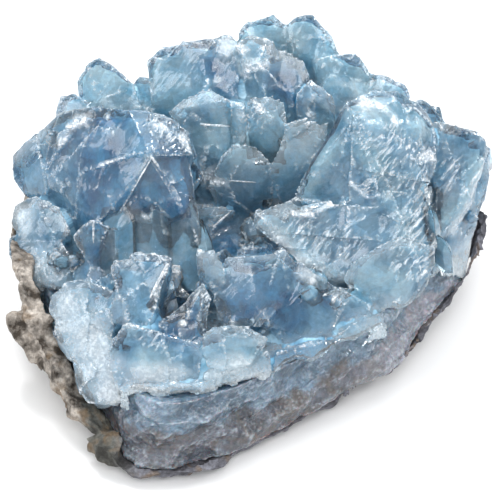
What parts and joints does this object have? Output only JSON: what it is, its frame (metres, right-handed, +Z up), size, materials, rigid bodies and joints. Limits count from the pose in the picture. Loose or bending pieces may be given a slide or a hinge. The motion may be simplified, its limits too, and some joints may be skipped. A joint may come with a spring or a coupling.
{
  "type": "celestite geode",
  "caption": "Broken piece of a geode wall: big pale blue celestite crystals round a hollow, on a granular bed in a rind of host rock.",
  "frame": {"origin": "middle of the bounding box, at the height of the flat spot that it rests on", "axes": "+Z up, away from the flat spot; +X the longest way, to the right as seen from the broken front; -Y towards the broken front"},
  "size_m": [0.092, 0.0808, 0.0494],
  "materials": {
    "host_rock": "rough, earthy, brown grey",
    "granular_celestite": "granular, sugary, lavender grey",
    "celestite_crystal": "glassy, clear to milky, pale blue"
  },
  "bodies": {
    "root": {"host_rock": "host_rock", "granular_bed": "granular_celestite", "crystal_crust": "celestite_crystal"}
  },
  "joints": []
}
